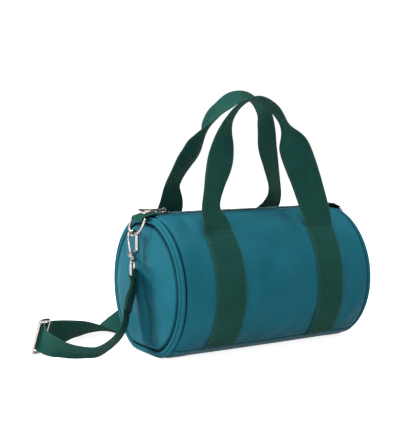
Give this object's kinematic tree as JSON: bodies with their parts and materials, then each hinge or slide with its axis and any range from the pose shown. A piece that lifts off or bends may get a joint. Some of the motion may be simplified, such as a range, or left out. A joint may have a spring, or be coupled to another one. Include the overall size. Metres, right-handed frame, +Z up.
{
  "type": "barrel bag",
  "caption": "Small barrel bag in satin nylon with piped ends, a top zip, upright webbing handles and a shoulder strap clipped to D-rings by swivel hooks",
  "frame": {"origin": "the middle of the flat base, on the surface that the bag stands on", "axes": "+X along the barrel toward the end away from the closed zip slider, -Y the front, +Z up"},
  "size_m": [0.4243, 0.2441, 0.3038],
  "materials": {
    "satin": "teal satin nylon with a soft sheen",
    "satin_base": "teal satin nylon, topstitched base",
    "webbing": "dark green ribbed webbing",
    "lining": "plain dark lining cloth",
    "board": "black stiffener sheet",
    "zip_tape": "dark teal woven zip tape",
    "zip_teeth": "dark teal moulded nylon",
    "nickel": "bright nickel plate"
  },
  "bodies": {
    "bag": {"front_panel": "satin", "back_panel": "satin", "base_panel": "satin_base", "end_panel_left": "satin", "end_panel_right": "satin", "piping_left": "satin", "piping_right": "satin", "lining": "lining", "base_board": "board", "zip_tape_front": "zip_tape", "zip_tape_back": "zip_tape", "zip_teeth_front": "zip_teeth", "zip_teeth_back": "zip_teeth", "zip_top_stop": "nickel", "zip_bottom_stop": "nickel", "dring_tab_left": "webbing", "dring_tab_right": "webbing", "handle_tail_front_left": "webbing", "handle_tail_front_right": "webbing", "handle_tail_back_left": "webbing", "handle_tail_back_right": "webbing", "strap_front_run": "webbing", "strap_back_run": "webbing", "strap_slider": "nickel"},
    "front_handle": {"front_handle": "webbing"},
    "back_handle": {"back_handle": "webbing"},
    "zip_slider": {"zip_slider": "nickel"},
    "zip_pull": {"zip_pull": "nickel"},
    "left_ring": {"left_dring": "nickel", "left_swivel_eye": "nickel", "left_strap_end": "webbing"},
    "right_ring": {"right_dring": "nickel", "right_swivel_eye": "nickel", "right_strap_end": "webbing"},
    "left_hook": {"left_hook": "nickel"},
    "right_hook": {"right_hook": "nickel"},
    "left_gate": {"left_gate": "nickel"},
    "right_gate": {"right_gate": "nickel"}
  },
  "joints": [
    {"name": "front_handle_fold", "type": "hinge", "parent": "bag", "child": "front_handle", "pos_m": [0, -0.05745, 0.14197], "axis": [1, 0, 0], "range_deg": [0, 115]},
    {"name": "back_handle_fold", "type": "hinge", "parent": "bag", "child": "back_handle", "pos_m": [0, 0.05745, 0.14197], "axis": [-1, 0, 0], "range_deg": [0, 115]},
    {"name": "zip_travel", "type": "slide", "parent": "bag", "child": "zip_slider", "axis": [1, 0, 0], "range_m": [0, 0.214]},
    {"name": "zip_pull_flip", "type": "hinge", "parent": "zip_slider", "child": "zip_pull", "pos_m": [-0.108, 0, 0.1658], "axis": [0, 1, 0], "range_deg": [0, 165]},
    {"name": "left_ring_swing", "type": "hinge", "parent": "bag", "child": "left_ring", "pos_m": [-0.141, 0, 0.1565], "axis": [0, 1, 0], "range_deg": [0, 75]},
    {"name": "right_ring_swing", "type": "hinge", "parent": "bag", "child": "right_ring", "pos_m": [0.141, 0, 0.1565], "axis": [0, -1, 0], "range_deg": [0, 75]},
    {"name": "left_hook_swivel", "type": "hinge", "parent": "left_ring", "child": "left_hook", "pos_m": [-0.14897, 0, 0.1119], "axis": [0, 0, 1], "range_deg": [-30, 30]},
    {"name": "right_hook_swivel", "type": "hinge", "parent": "right_ring", "child": "right_hook", "pos_m": [0.14897, 0, 0.1119], "axis": [0, 0, 1], "range_deg": [-30, 30]},
    {"name": "left_gate_push", "type": "hinge", "parent": "left_hook", "child": "left_gate", "pos_m": [-0.15137, 0, 0.1171], "axis": [0, 1, 0], "range_deg": [0, 20], "stiffness_Nm_per_rad": 0.02, "springref_deg": -17.19},
    {"name": "right_gate_push", "type": "hinge", "parent": "right_hook", "child": "right_gate", "pos_m": [0.15137, 0, 0.1171], "axis": [0, -1, 0], "range_deg": [0, 20], "stiffness_Nm_per_rad": 0.02, "springref_deg": -17.19}
  ]
}
